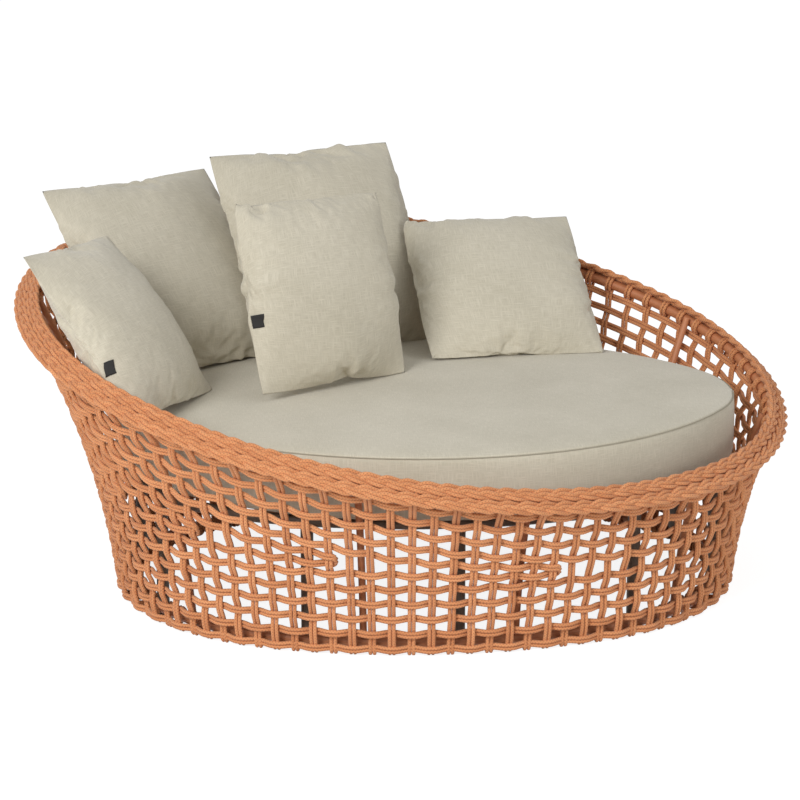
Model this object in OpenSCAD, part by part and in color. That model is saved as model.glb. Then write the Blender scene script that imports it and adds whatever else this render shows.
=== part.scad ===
// Rope chaise lounge: an oval tube frame woven with doubled rope, with a round mattress and five cushions.
// Origin on the floor under the centre of the rim. +X is the right-hand end, -Y the low front, +Z up.

/* [Rim] */
// Half length of the rim, measured in its own plane
rim_half_length = 875; // [860:5:900]
// Half width of the rim, measured in its own plane
rim_half_width = 746; // [730:2:770]
// Radius of the two ends of the rim
rim_end_radius = 660; // [620:5:700]
// Height of the rim's centre
rim_height = 545; // [530:5:570]
// How far the rim falls towards the right, in degrees
rim_roll = 8.7; // [7:0.1:9.5]
// How far the rim rises towards the back, in degrees
rim_pitch = 11.8; // [10:0.1:12.5]
// Tilt of the braided band's section, in degrees
band_tilt = 36; // [33:1:38]

/* [Base] */
// How far the rim is longer than the base, at each end
end_flare = 159; // [150:1:170]
// How far the rim is wider than the base, on each side
side_flare = 186; // [175:1:195]
// Radius of the two ends of the base outline, as a share of the rim's
end_radius_share = 0.8; // [0.7:0.01:0.85]
// How far the base stands to the right of the rim's centre
base_shift_x = 42; // [34:1:50]
// How far the base stands to the front of the rim's centre
base_shift_y = 50; // [44:1:58]

/* [Frame] */
// Diameter of the base, deck and rim tubes
ring_tube_d = 25; // [22:0.5:26]
// Diameter of the legs
leg_d = 28; // [24:1:30]
// Diameter of the uprights between base and rim
upright_d = 16; // [12:1:18]
// Height of the deck ring's centre
deck_height = 290; // [270:5:300]
// Thickness of the deck slats
slat_thickness = 6; // [4:0.5:8]
// Width of the deck slats
slat_width = 60; // [40:5:70]
// Distance between the centres of neighbouring slats
slat_pitch = 110; // [90:5:140]
// Diameter of the glides
glide_d = 18; // [12:1:20]

/* [Weave] */
// Diameter of the rope
rope_d = 8.6; // [7:0.2:9]
// Number of doubled ropes that stand round the wall
stake_count = 96; // [92:2:98]
// Number of rows that run all the way round along the base
base_rows = 5; // [4:1:6]
// Number of rows that run all the way round under the rim
rim_rows = 4; // [3:1:5]
// Distance between neighbouring rows
row_pitch = 37; // [36:0.5:38]
// Width of a braid over the rim
braid_width = 30; // [26:1:31]
// Thickness of a braid over the rim
braid_thickness = 17; // [14:0.5:17]

/* [Mattress] */
// Height of the mattress's side
mattress_side = 140; // [110:5:160]
// How far the mattress's top swells above its edge
mattress_crown = 16; // [6:1:24]
// How far the mattress's sides lie inside the base outline
mattress_gap = 1; // [0:1:10]
// How far the mattress lies further to the front than the base
mattress_forward = 26; // [15:1:28]
// Radius of the two ends of the mattress, as a share of its half width
mattress_end_share = 0.65; // [0.6:0.01:0.9]

/* [Cushions] */
// Edge of a large cushion
large_cushion = 530; // [500:5:540]
// Edge of a small cushion
small_cushion = 435; // [400:10:460]
// Thickness of a large cushion at its middle
large_thickness = 160; // [130:5:165]
// Thickness of a small cushion at its middle
small_thickness = 140; // [100:5:150]

/* [Hidden] */
$fn = 72;
seat_gap = 0.3;
// Hairline between the bent lengths of a ring, and the number of lengths in each arc of a braid
joint_gap = 0.2;
braid_lengths = 6;
base_half_length = rim_half_length - end_flare;
base_half_width = rim_half_width - side_flare;
base_end_radius = rim_end_radius * end_radius_share;
ring_r = ring_tube_d / 2;
leg_r = leg_d / 2;
upright_r = upright_d / 2;
rope_r = rope_d / 2;

// The stakes clear the floor by a little less than the glides lift the frame
stake_lift = 1.2;
// Radius of the tail that a stake turns under the base ring
tail_r = 4;
// Space between the two ropes of a stake, and the arc length from the right-hand end to the first stake,
// which stands where the wall is lowest
pair_gap = 0.3;
first_stake = -298;
strand_side = rope_r + pair_gap / 2;
// Share of the wall's slope that it already has at the floor
foot_slope = 0.36;
// How far a row swings out and in where it passes a stake, and the section of its two ropes
row_swing = 13.5;
row_width = 2 * rope_d;
row_thickness = 8;
// Where the lowest row passes outside and inside a stake, from the stake's foot, and the top row's drop
foot_row_out = 10.4;
foot_row_in = 18.6;
top_row_drop = 29;
// Rows that turn back begin where their gaps reach this share of a full pitch
short_row_share = 0.33;

// Rim section, out and up from the middle of the braided band
tube_out = -4.2;
tube_up = -5.9;
inner_braid_out = -4.8;
inner_braid_up = 18.9;
outer_braid_out = 19.8;
outer_braid_up = 1.1;
// The stakes pass the rim tube this far outside its middle, so that the uprights pass close inside it
weave_offset = row_swing + row_thickness / 2 + seat_gap;
rim_outset = weave_offset - ring_r - seat_gap;
base_inset = max(weave_offset + leg_r, 32);

base_ring_z = stake_lift + 2 * tail_r + 2 * seat_gap + ring_r;
slat_z = deck_height + ring_r + seat_gap;
deck_top = slat_z + slat_thickness;
mattress_z = deck_top + seat_gap;
mattress_top = mattress_z + mattress_side;
mattress_half_length = base_half_length - mattress_gap;
mattress_half_width = base_half_width - mattress_gap;
mattress_middle = [base_shift_x, -base_shift_y - mattress_forward];

// Places of the legs and uprights, in hundredths of the way round, and as stake numbers between two stakes
support_shares = [3, 13, 24, 34, 44, 54, 64, 74, 83, 93];
support_places = [for (share = support_shares) floor(share * stake_count / 100) + 0.5];
support_count = len(support_places);
// Each upright stands beside its leg, this many stakes further round
upright_step = 3;
stake_groups = 8;

// Outline made of four arcs that meet smoothly, by the angle that its edge faces
function side_radius(l, w, r) = (l * l + w * w - 2 * l * r) / (2 * (w - r));
function joint_angle(l, w, r) = atan2(side_radius(l, w, r) - w, l - r);
function wrapped(f) = f - 360 * floor((f + 180) / 360);
function outline_point(l, w, r, out, f) =
    let (g = wrapped(f), j = joint_angle(l, w, r), side = side_radius(l, w, r), toward = [cos(g), sin(g)])
    abs(g) <= j ? [l - r, 0] + (r + out) * toward
    : abs(g) >= 180 - j ? [r - l, 0] + (r + out) * toward
    : [0, -sign(g) * (side - w)] + (side + out) * toward;

// Arc length round the base outline and the angle faced there
end_arc = base_end_radius * joint_angle(base_half_length, base_half_width, base_end_radius) * PI / 180;
base_side_radius = side_radius(base_half_length, base_half_width, base_end_radius);
base_joint = joint_angle(base_half_length, base_half_width, base_end_radius);
side_arc = base_side_radius * (180 - 2 * base_joint) * PI / 180;
base_girth = 4 * end_arc + 2 * side_arc;
angle_table = [
    [0, 0], [end_arc, base_joint], [end_arc + side_arc, 180 - base_joint],
    [3 * end_arc + side_arc, 180 + base_joint], [3 * end_arc + 2 * side_arc, 360 - base_joint],
    [base_girth, 360]
];
function facing(place) =
    let (s = first_stake + place * base_girth / stake_count)
    lookup(s - base_girth * floor(s / base_girth), angle_table);

function tilted(v) =
    let (y = v.y * cos(rim_pitch) - v.z * sin(rim_pitch), z = v.y * sin(rim_pitch) + v.z * cos(rim_pitch))
    [v.x * cos(rim_roll) + z * sin(rim_roll), y, z * cos(rim_roll) - v.x * sin(rim_roll)];
function rim_point(out, up, f) =
    let (p = outline_point(rim_half_length, rim_half_width, rim_end_radius, out, f))
    [0, 0, rim_height] + tilted([p.x, p.y, up]);
function base_point(out, z, f) =
    let (p = outline_point(base_half_length, base_half_width, base_end_radius, out, f))
    [base_shift_x + p.x, p.y - base_shift_y, z];

// The rim faces this angle where it crosses the upright plane in which the base faces f
rim_side_radius = side_radius(rim_half_length, rim_half_width, rim_end_radius);
rim_joint = joint_angle(rim_half_length, rim_half_width, rim_end_radius);
function rim_radius(g) = abs(sin(g)) > sin(rim_joint) ? rim_side_radius : rim_end_radius;
function above(f, g, tries = 6) =
    tries == 0 ? g
    : let (beside = (rim_point(tube_out, tube_up, g) - base_point(0, 0, f)) * along_of(f))
    above(f, g - beside / rim_radius(g) * 180 / PI, tries - 1);

// A stake rises from its foot in one arc, which lies in the plane of its outward and rising directions.
// Its list holds foot, outward, rising, slope at the foot, arc radius and arc length up to the rim tube.
function unit(v) = v / norm(v);
function arc_between(foot, top, outward) =
    let (
        chord = top - foot, across = chord * outward, rise = chord - across * outward, h = norm(rise),
        b0 = atan2(across, h), e0 = (2 - foot_slope) * b0,
        end = [across + rim_outset * cos(e0), h - rim_outset * sin(e0)],
        b = atan2(end.x, end.y), g = foot_slope * b, radius = norm(end) / (2 * sin(b - g))
    )
    [foot, outward, unit(rise), g, radius, radius * 2 * (b - g) * PI / 180];
function outward_of(f) = [cos(f), sin(f), 0];
function along_of(f) = [-sin(f), cos(f), 0];
function stake(f) =
    arc_between(base_point(0, stake_lift, f), rim_point(tube_out, tube_up, above(f, f)), outward_of(f));
function slope_at(s, t) = s[3] + t / s[4] * 180 / PI;
function outward_at(s, t) = cos(slope_at(s, t)) * s[1] - sin(slope_at(s, t)) * s[2];
function rising_at(s, t) = sin(slope_at(s, t)) * s[1] + cos(slope_at(s, t)) * s[2];
function on_stake(s, t, out) =
    let (e = slope_at(s, t), r = s[4])
    s[0] + r * (cos(s[3]) - cos(e)) * s[1] + r * (sin(e) - sin(s[3])) * s[2] + out * outward_at(s, t);

// One rope of a stake, beside its middle line. Where the stake leans, it is further along both tubes.
function square_on(direction, along) = 1 / sqrt(1 - (direction * along) ^ 2);
function strand_line(f, side) =
    let (s = stake(f), g = above(f, f), low = along_of(f), high = tilted(along_of(g)))
    arc_between(
        s[0] + side * square_on(rising_at(s, 0), low) * low,
        rim_point(tube_out, tube_up, g) + side * square_on(rising_at(s, s[5]), high) * high,
        outward_of(f)
    );

STAKES = [for (i = [0:stake_count - 1]) stake(facing(i))];

// Rows. A pair of short rows fits in for every two pitches that the wall is taller than its full rows.
full_rows = base_rows + rim_rows;
foot_row = (foot_row_out + foot_row_in) / 2;
function room(s) = (s[5] - top_row_drop - foot_row - (full_rows - 1) * row_pitch) / (2 * row_pitch);
function opening(s, k) = min(max(room(s) - k + 1, 0), 1);
function step_in(s, k) = (k - 1 + (1 + 2 * opening(s, k)) / 3) * row_pitch;
function lower_height(s, j) = foot_row + j * row_pitch;
function upper_height(s, j) = s[5] - top_row_drop - j * row_pitch;
function lower_short(s, k) = lower_height(s, base_rows - 1) + step_in(s, k);
function upper_short(s, k) = upper_height(s, rim_rows - 1) - step_in(s, k);
function side_of(n) = n % 2 == 0 ? 1 : -1;
most_room = max([for (s = STAKES) room(s)]);
short_pairs = floor(most_room + 1 - short_row_share);

// Four corners of a row's section, where faces is the way that its flat side faces
function section(middle, rising, faces) = [
    for (c = [[1, 1], [-1, 1], [-1, -1], [1, -1]])
        middle + c[0] * row_width / 2 * rising + c[1] * row_thickness / 2 * faces
];
function pass(s, t, swing, turned = 1) =
    section(on_stake(s, t, swing * row_swing), rising_at(s, t), turned * outward_at(s, t));
// Three sections that carry a row round the side of a stake, from one face of the wall to the other
turn_near = 6;
turn_far = strand_side + rope_r + row_thickness / 2 + 2;
function turn(s, t0, t1, swing, way, faces) =
    let (
        t = (t0 + t1) / 2, out = outward_at(s, t), side = way * cross(s[2], s[1]),
        start = on_stake(s, t0, swing * row_swing) + turn_near * side,
        end = on_stake(s, t1, -swing * row_swing) + turn_near * side
    )
    [
        section(start, rising_at(s, t0), faces * unit(swing * out + side)),
        section(on_stake(s, t, 0) + turn_far * side, rising_at(s, t), faces * side),
        section(end, rising_at(s, t1), faces * unit(side - swing * out))
    ];
function joined(lists) = [for (l = lists) each l];

module closed_row(sections) {
    n = len(sections);
    faces = [
        for (i = [0:n - 1], c = [0:3])
            let (a = 4 * i + c, b = 4 * i + (c + 1) % 4, next = 4 * ((i + 1) % n), d = next + c)
            let (e = next + (c + 1) % 4)
            each [[a, d, b], [b, d, e]]
    ];
    polyhedron(joined(sections), faces);
}

// Places the outward, rising plane of a stake as X and Y
module in_plane(s) {
    z = cross(s[1], s[2]);
    multmatrix([
        [s[1].x, s[2].x, z.x, s[0].x],
        [s[1].y, s[2].y, z.y, s[0].y],
        [s[1].z, s[2].z, z.z, s[0].z]
    ]) children();
}

// A round rod along a stake's arc, moved out by out, from arc length a to b
module arc_rod(s, a, b, out, r) {
    e0 = slope_at(s, a);
    e1 = slope_at(s, b);
    translate([s[4] * cos(s[3]), -s[4] * sin(s[3]), 0])
        rotate([0, 0, 180 - e1])
            rotate_extrude(angle = e1 - e0, $fn = 240)
                translate([s[4] - out, 0]) circle(r, $fn = 24);
}

module strand(f, side) {
    s = strand_line(f, side);
    top = rising_at(s, s[5]);
    tube = tilted(along_of(above(f, f)));
    short_by = (ring_r + seat_gap + abs(top * tube) * rope_r) * square_on(top, tube);
    tail_place = tail_r + seat_gap;
    in_plane(s) {
        arc_rod(s, 0, s[5] - short_by, 0, rope_r);
        translate([tail_place * sin(s[3]), tail_place * cos(s[3]), 0])
            rotate([0, -90, 0]) cylinder(h = base_inset + ring_r / 2, r = tail_r, $fn = 24);
    }
}

// Sweeps a profile round a four-arc outline. Each arc has one or more bent lengths that butt with a hairline
// joint.
module bent_arc(radius, from, to, lengths) {
    trim = joint_gap / 2 / radius * 180 / PI;
    step = (to - from) / lengths;
    for (k = [0:lengths - 1])
        rotate([0, 0, from + k * step + trim])
            rotate_extrude(angle = step - 2 * trim, $fn = 240) translate([radius, 0]) children();
}
module round_outline(l, w, r, out, lengths) {
    j = joint_angle(l, w, r);
    side = side_radius(l, w, r);
    for (end = [0, 180]) rotate([0, 0, end]) {
        translate([l - r, 0, 0]) bent_arc(r + out, -j, j, lengths) children();
        translate([0, w - side, 0]) bent_arc(side + out, j, 180 - j, lengths) children();
    }
}
module base_outline(out) {
    translate([base_shift_x, -base_shift_y, 0])
        round_outline(base_half_length, base_half_width, base_end_radius, out, 1) children();
}
module rim_outline(out, up, lengths = 1) {
    translate([0, 0, rim_height]) rotate([rim_pitch, rim_roll, 0]) translate([0, 0, up])
        round_outline(rim_half_length, rim_half_width, rim_end_radius, out, lengths) children();
}

// Frame
module base_ring() {
    color("sienna") translate([0, 0, base_ring_z]) base_outline(-base_inset) circle(ring_r, $fn = 48);
}
module deck_ring() {
    color("dimgray") translate([0, 0, deck_height]) base_outline(-base_inset) circle(ring_r, $fn = 48);
}
module rim_ring() {
    color("sienna") rim_outline(tube_out, tube_up) circle(ring_r, $fn = 48);
}
module leg(i) {
    foot = base_point(-base_inset, base_ring_z + ring_r + seat_gap, facing(support_places[i]));
    color("dimgray") translate(foot)
        cylinder(h = deck_height - base_ring_z - 2 * (ring_r + seat_gap), r = leg_r);
}
module upright(i) {
    s = stake(facing(support_places[i] + upright_step));
    inside = weave_offset + upright_r + 2 * seat_gap;
    start = (base_ring_z + ring_r + seat_gap - s[0].z) / s[2].z + upright_r * sin(s[3]) - inside * sin(s[3]);
    color("sienna") in_plane(s) arc_rod(s, start, s[5] + 2, -inside, upright_r);
}
module deck_rail() {
    length = base_half_length - base_inset - ring_r - seat_gap;
    color("dimgray") translate([base_shift_x - length, -base_shift_y, deck_height])
        rotate([0, 90, 0]) cylinder(h = 2 * length, r = ring_r);
}
slat_reach = floor((base_half_length - base_inset - slat_width) / slat_pitch);
// Half the length of a slat whose far edge lies x from the middle, so that its ends lie over the ring
function slat_half(x) =
    let (
        l = base_half_length - base_inset, w = base_half_width - base_inset, r = base_end_radius - base_inset,
        turn_x = (l - r) + r * cos(base_joint)
    )
    x > turn_x ? sqrt(r * r - (x - l + r) * (x - l + r))
    : sqrt((base_side_radius - base_inset) ^ 2 - x * x) - (base_side_radius - base_half_width);
module deck_slats() {
    color("dimgray")
        for (i = [-slat_reach:slat_reach])
            let (x = i * slat_pitch, half = slat_half(abs(x) + slat_width / 2))
            translate([base_shift_x + x - slat_width / 2, -base_shift_y - half, slat_z])
                cube([slat_width, 2 * half, slat_thickness]);
}
module glides() {
    color("dimgray")
        for (p = support_places)
            translate(base_point(-base_inset, 0, facing(p)))
                cylinder(h = base_ring_z - ring_r - seat_gap, d = glide_d);
}

// Woven wall and braided rim
module stakes(group) {
    function first(g) = ceil((g - 1) * stake_count / stake_groups);
    color("peru")
        for (i = [first(group):first(group + 1) - 1])
            for (side = [-1, 1]) strand(facing(i), side * strand_side);
}
module base_row_ropes() {
    color("chocolate")
        for (j = [0:base_rows - 1])
            closed_row([
                for (i = [0:stake_count - 1])
                    let (swing = side_of(i + j), s = STAKES[i])
                    pass(s, j > 0 ? lower_height(s, j) : swing > 0 ? foot_row_out : foot_row_in, swing)
            ]);
}
module rim_row_ropes() {
    color("chocolate")
        for (j = [0:rim_rows - 1])
            closed_row([
                for (i = [0:stake_count - 1])
                    pass(STAKES[i], upper_height(STAKES[i], j), side_of(i + full_rows - 1 - j))
            ]);
}
module short_row_ropes() {
    color("chocolate")
        for (k = [1:short_pairs]) {
            span = [for (i = [0:stake_count - 1]) if (room(STAKES[i]) - k + 1 >= short_row_share) i];
            first = span[0];
            last = span[len(span) - 1];
            a = STAKES[first];
            b = STAKES[last];
            swing_a = side_of(first + base_rows - 1 + k);
            swing_b = side_of(last + base_rows - 1 + k);
            closed_row(concat(
                [
                    for (i = [first:last])
                        pass(STAKES[i], lower_short(STAKES[i], k), side_of(i + base_rows - 1 + k))
                ],
                turn(b, lower_short(b, k), upper_short(b, k), swing_b, 1, swing_b),
                [
                    for (i = [last:-1:first])
                        pass(STAKES[i], upper_short(STAKES[i], k), -side_of(i + base_rows - 1 + k), -1)
                ],
                turn(a, upper_short(a, k), lower_short(a, k), -swing_a, -1, swing_a)
            ));
        }
}
module braid_section() {
    straight = braid_width - braid_thickness;
    rotate(-band_tilt) {
        square([straight, braid_thickness], center = true);
        for (x = [-0.5, 0.5]) translate([x * straight, 0]) circle(d = braid_thickness, $fn = 48);
    }
}
module rim_braid_inner() {
    color("chocolate") rim_outline(inner_braid_out, inner_braid_up, braid_lengths) braid_section();
}
module rim_braid_outer() {
    color("chocolate") rim_outline(outer_braid_out, outer_braid_up, braid_lengths) braid_section();
}

// Mattress: a flat bottom, a straight side and a top that swells from its edge
mattress_sides = 72;
// Height above the bottom, spread beyond the outline and share of the outline's size, ring by ring
side_rings = [[0, -8, 1], [10, 0, 1], [70, 3, 1], [130, 0, 1], [140, -2, 1]];
top_shares = [0.985, 0.94, 0.82, 0.55];
function swell(share) = mattress_crown * sqrt(1 - share ^ 6);
module mattress() {
    r = mattress_end_share * mattress_half_width;
    rings = concat(
        [for (g = side_rings) [mattress_side * g[0] / side_rings[4][0], g[1], g[2]]],
        [for (share = top_shares) [mattress_side + swell(share), side_rings[4][1], share]]
    );
    count = len(rings);
    points = concat(
        [
            for (g = rings, i = [0:mattress_sides - 1])
                let (f = i * 360 / mattress_sides)
                let (p = outline_point(mattress_half_length, mattress_half_width, r, g[1], f))
                [g[2] * p.x, g[2] * p.y, g[0]]
        ],
        [[0, 0, 0], [0, 0, mattress_side + swell(0)]]
    );
    low = count * mattress_sides;
    color("darkseagreen") translate([mattress_middle.x, mattress_middle.y, mattress_z])
        polyhedron(points, [
            for (i = [0:mattress_sides - 1])
                let (j = (i + 1) % mattress_sides, top = (count - 1) * mattress_sides)
                each concat(
                    [[low, i, j], [low + 1, top + j, top + i]],
                    [
                        for (k = [0:count - 2])
                            let (a = k * mattress_sides, b = a + mattress_sides)
                            each [[a + i, b + i, b + j], [a + i, b + j, a + j]]
                    ]
                )
        ]);
}

// Where a cushion leans: its middle, then its yaw, lean and roll in degrees. The middle is given as shares of
// the mattress's half length and half width. It is as high as the cushion stands on its lowest corner, which
// meets the mattress at a share of the crown's height.
function standing(edge, turns) = edge / 2 * (cos(turns.z) + abs(sin(turns.z))) * cos(turns.y);
function leaning(edge, shares, crown_share, turns) = [
    [
        mattress_middle.x + shares.x * mattress_half_length,
        mattress_middle.y + shares.y * mattress_half_width,
        mattress_top + standing(edge, turns) + crown_share * mattress_crown
    ],
    turns
];
large_left_place = leaning(large_cushion, [-0.803, 0.7085], 0.669, [43.5, -39.9, -1.5]);
large_middle_place = leaning(large_cushion, [-0.2706, 0.9284], 0.341, [31.9, -29.6, -1.8]);
small_left_place = leaning(small_cushion, [-0.9772, -0.195], 0.93, [69.2, -37.5, -4.9]);
small_middle_place = leaning(small_cushion, [-0.3343, 0.1225], 1.02, [37.8, -16.3, -2.8]);
small_right_place = leaning(small_cushion, [0.3203, 0.8086], 0.75, [10.7, -50.4, -2.1]);

// Cushions: square, swelling to the middle from a sewn edge, with sides that draw in between the corners
cushion_cells = 14;
side_draw = 0.05;
label_width = 16;
label_length = 26;
label_thickness = 1.2;
label_gap = 0.6;
// The cell beside the left edge that each label sits on, counted up from the lower edge
left_label_cell = 5;
middle_label_cell = 5;
function cushion_point(edge, thick, u, v, face) = [
    edge / 2 * u * (1 - side_draw * (1 - v * v)),
    edge / 2 * v * (1 - side_draw * (1 - u * u)),
    face * thick / 2 * sqrt(max(0, (1 - u * u) * (1 - v * v)))
];
module cushion(edge, thick) {
    n = cushion_cells;
    row = n + 1;
    function share(i) = 2 * i / n - 1;
    function on_edge(i, j) = i == 0 || j == 0 || i == n || j == n;
    function front(i, j) = i * row + j;
    function back(i, j) = on_edge(i, j) ? front(i, j) : row * row + (i - 1) * (n - 1) + j - 1;
    points = concat(
        [for (i = [0:n], j = [0:n]) cushion_point(edge, thick, share(i), share(j), 1)],
        [for (i = [1:n - 1], j = [1:n - 1]) cushion_point(edge, thick, share(i), share(j), -1)]
    );
    // Each cell is split along the diagonal that points to the middle, so that no corner folds flat
    function split(a, b, c, d, inward) = inward ? [[a, b, c], [a, c, d]] : [[b, c, d], [b, d, a]];
    polyhedron(points, [
        for (i = [0:n - 1], j = [0:n - 1])
            let (inward = (i < n / 2) == (j < n / 2))
            each concat(
                split(front(i, j), front(i, j + 1), front(i + 1, j + 1), front(i + 1, j), inward),
                split(back(i, j), back(i + 1, j), back(i + 1, j + 1), back(i, j + 1), inward)
            )
    ]);
}
// Stands a cushion up at its place: its middle, then yaw, lean and roll in degrees
module stood(place) {
    translate(place[0]) rotate([0, 0, place[1].x]) rotate([place[1].y, 0, 0]) rotate([90, 0, 0])
        rotate([0, 0, place[1].z]) children();
}
module large() {
    color("darkseagreen") cushion(large_cushion, large_thickness);
}
module small() {
    color("darkseagreen") cushion(small_cushion, small_thickness);
}
// A bare tab sewn near the left edge of a small cushion, on the flat of one cell of its front
module label(cell) {
    function share(i) = 2 * i / cushion_cells - 1;
    function corner(i, j) = cushion_point(small_cushion, small_thickness, share(i), share(cell + j), 1);
    across = corner(1, 0) + corner(1, 1) - corner(0, 0) - corner(0, 1);
    up = unit(corner(0, 1) + corner(1, 1) - corner(0, 0) - corner(1, 0));
    out = unit(cross(across, up));
    side = cross(up, out);
    middle = (corner(0, 0) + corner(0, 1) + corner(1, 0) + corner(1, 1)) / 4;
    place = middle + (label_thickness / 2 + label_gap) * out;
    color("black") multmatrix([
        [side.x, up.x, out.x, place.x], [side.y, up.y, out.y, place.y], [side.z, up.z, out.z, place.z]
    ]) cube([label_width, label_length, label_thickness], center = true);
}

base_ring();
deck_ring();
rim_ring();
deck_rail();
deck_slats();
glides();
for (i = [0:support_count - 1]) {
    leg(i);
    upright(i);
}
for (i = [1:stake_groups])
    stakes(i);
base_row_ropes();
rim_row_ropes();
short_row_ropes();
rim_braid_inner();
rim_braid_outer();
mattress();
stood(large_left_place) large();  // cushion_large_left
stood(large_middle_place) large();  // cushion_large_middle
stood(small_left_place) small();  // cushion_small_left
stood(small_middle_place) small();  // cushion_small_middle
stood(small_right_place) small();  // cushion_small_right
stood(small_left_place) label(left_label_cell);  // label_left
stood(small_middle_place) label(middle_label_cell);  // label_middle
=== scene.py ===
"""A rope chaise lounge: doubled ropes woven round an oval frame, with a round mattress and five cushions."""
import math

import bpy
import numpy as np
from mathutils import Matrix, Vector
from mathutils.bvhtree import BVHTree

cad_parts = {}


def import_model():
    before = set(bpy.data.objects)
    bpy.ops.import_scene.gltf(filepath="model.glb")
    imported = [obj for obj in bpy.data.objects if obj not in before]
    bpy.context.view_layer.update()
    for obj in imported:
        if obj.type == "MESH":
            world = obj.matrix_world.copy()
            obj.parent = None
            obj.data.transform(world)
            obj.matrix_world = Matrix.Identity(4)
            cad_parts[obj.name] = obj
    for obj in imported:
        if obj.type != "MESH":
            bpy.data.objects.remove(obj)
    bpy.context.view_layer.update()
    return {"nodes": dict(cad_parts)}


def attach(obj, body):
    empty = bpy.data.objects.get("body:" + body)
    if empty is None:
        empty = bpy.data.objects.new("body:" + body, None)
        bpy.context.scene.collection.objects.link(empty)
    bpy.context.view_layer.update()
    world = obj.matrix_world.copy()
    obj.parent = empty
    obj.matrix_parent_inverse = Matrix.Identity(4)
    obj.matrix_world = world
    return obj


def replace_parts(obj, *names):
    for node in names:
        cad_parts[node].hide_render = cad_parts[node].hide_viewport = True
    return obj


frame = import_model()

# Frame, in metres and radians. An outline is its half length, its half width and the radius of its ends
BASE_OUTLINE = (0.716, 0.560, 0.528)
BASE_SHIFT = (0.042, -0.050)
RIM_OUTLINE = (0.875, 0.746, 0.660)
RIM_HEIGHT = 0.545
RIM_ROLL = math.radians(8.7)
RIM_PITCH = math.radians(11.8)
BAND_TILT = math.radians(36)
RING_TUBE_R = 0.0125
BASE_INSET = 0.032
BASE_RING_Z = 0.0223
# Middles of the rim tube and of the braids: how far outside the rim's outline, and how far above its plane
TUBE = (-0.0042, -0.0059)
INNER_BRAID = (-0.0048, 0.0189)
OUTER_BRAID = (0.0198, 0.0011)

# Stakes. A stake leaves the base at a share of its mean lean. Its line ends just outside the tube's middle
ROPE_R = 0.0043
PAIR_HALF = 0.00445
STAKE_COUNT = 96
STAKE_GROUPS = 8
FIRST_STAKE = -0.298
STAKE_LIFT = 0.0012
FOOT_SLOPE = 0.36
RIM_OUTSET = 0.0050
STAKE_SWING = 0.0043
STAKE_STEPS = 3
# No row is passed this near the top, where the rope already turns over the tube
TOP_FREE = 0.020
# Angles in degrees of a stake's turns round the base ring and the rim tube, and their play
FOOT_WRAP = (120, 150, 180, 215, 250, 275)
HEAD_WRAP = (-8, 30, 75, 120, 165, 205, 240)
WRAP_PLAY = 0.0004
# Points between the base ring and the wall: height on the stake's line, then how far outside and above it
FOOT_BEND = ((0.0, -0.014, 0.0045), (0.004, -0.004, 0.0012))

# Rows. The lowest and the top one have their own places. Short rows fill what the full ones leave free
BASE_ROWS = 5
RIM_ROWS = 4
ROW_PITCH = 0.037
FOOT_ROW = 0.0145
TOP_ROW_DROP = 0.029
# Share of a pair's room that has to be there for a pair of short rows
SHORT_ROW_SHARE = 0.33
ROW_SWING = 0.0046
# The lower this power, the flatter a row lies over a stake
SWING_POWER = 0.35
# Points of a row for each stake, and steps between them
ROW_POINTS = 4
ROW_STEPS = 2
# Where a short row turns round its last stake: beside the stake's line, and past its ropes at the bend
TURN_NEAR = 0.009
TURN_PLAY = 0.003

# Braids
BRAID_WIDTH = 0.0335
BRAID_THICKNESS = 0.0165
BRAID_REPEAT = 0.129
BRAID_ROPE_R = 0.0045
BRAID_STRANDS = 3
BRAID_STEPS = 14
# Share of a third wave that keeps a strand longer at the braid's edge
STRAND_DWELL = 1 / 8

# Mattress
MATTRESS_Z = 0.3091
MATTRESS_SIDE = 0.140
MATTRESS_CROWN = 0.016
MATTRESS_OUTLINE = (0.715, 0.559, 0.363)
MATTRESS_MIDDLE = (0.042, -0.076)
MATTRESS_TOP = MATTRESS_Z + MATTRESS_SIDE
MATTRESS_SIDES = 180
MATTRESS_ROUND = 0.012
# The stitched line round its top edge: how far outside the outline and above the edge
SEAM_R = 0.0013
SEAM_OUT = -0.0016
SEAM_UP = 0.0002

# Cushions, as edge and thickness when filled
LARGE = (0.530, 0.160)
SMALL = (0.435, 0.140)
# Middle of each cushion, then its yaw, lean and roll in degrees
CUSHIONS = {
    "cushion_large_left": (LARGE, (-0.534, 0.3215, MATTRESS_TOP + 0.2192), (43.5, -39.9, -1.5)),
    "cushion_large_middle": (LARGE, (-0.1515, 0.443, MATTRESS_TOP + 0.2430), (31.9, -29.6, -1.8)),
    "cushion_small_left": (SMALL, (-0.6567, -0.185, MATTRESS_TOP + 0.2016), (69.2, -37.5, -4.9)),
    "cushion_small_middle": (SMALL, (-0.197, -0.0075, MATTRESS_TOP + 0.235), (37.8, -16.3, -2.8)),
    "cushion_small_right": (SMALL, (0.271, 0.376, MATTRESS_TOP + 0.1556), (10.7, -50.4, -2.1)),
}
CUSHION_CELLS = 56
# The cover before it is filled: its height at the middle, and the uneven lie that starts its creases
START_SWELL = 0.004
START_CREASE = 0.0008
# The cloth that air fills, in Blender's own names, then how long that takes and how far a point may move
COVER_CLOTH = {
    "quality": 6,
    "mass": 0.3,
    "tension_stiffness": 40.0,
    "compression_stiffness": 40.0,
    "shear_stiffness": 12.0,
    "bending_stiffness": 0.04,
    "use_pressure": True,
    "uniform_pressure_force": 4.0,
}
FILLING_FRAMES = 20
FILLING_CAP = 0.2
# How far a filled cushion's bottom and top draw in, as shares of half an edge. Its sides are straight
BOTTOM_DRAW = 0.02
TOP_DRAW = 0.03
# How much fuller the cushion is at its bottom than at its middle
LOW_FILL = 0.14
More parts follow.
